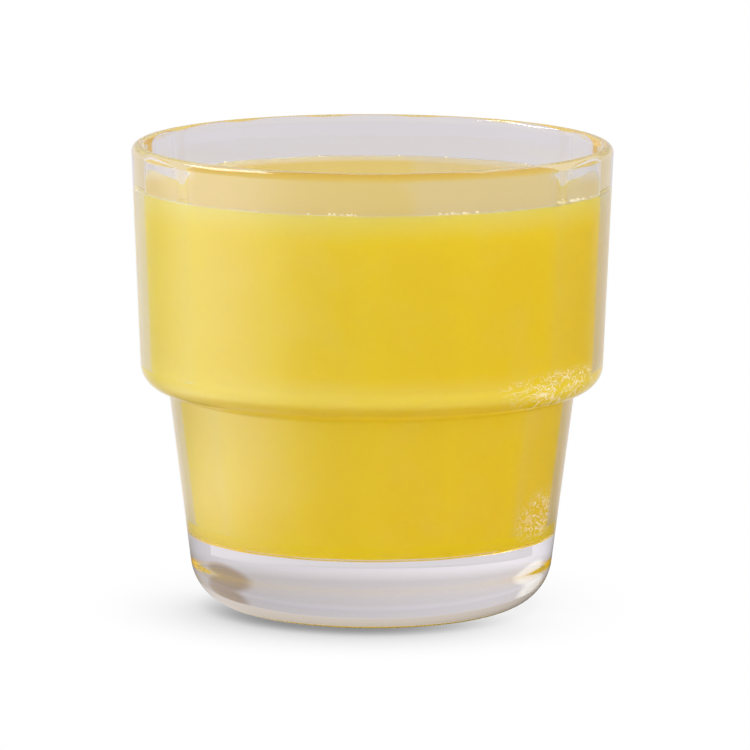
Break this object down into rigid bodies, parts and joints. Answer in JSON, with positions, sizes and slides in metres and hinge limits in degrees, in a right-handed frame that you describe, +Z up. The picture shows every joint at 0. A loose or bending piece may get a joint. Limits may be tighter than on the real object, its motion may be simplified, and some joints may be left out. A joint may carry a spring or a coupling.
{
  "type": "glass of orange juice",
  "caption": "Stepped clear glass tumbler, faceted inside and thick in the base, filled with orange juice to just below its rim.",
  "frame": {"origin": "middle of the glass's foot, on the surface it stands on", "axes": "+Z up along the glass's axis; -Y is the side that faces the camera in the picture"},
  "size_m": [0.085, 0.085, 0.0824],
  "materials": {
    "glass": "clear pressed glass, smooth and polished",
    "juice": "cloudy yellow-orange juice with a wet surface"
  },
  "bodies": {
    "root": {"glass": "glass", "juice": "juice"}
  },
  "joints": []
}
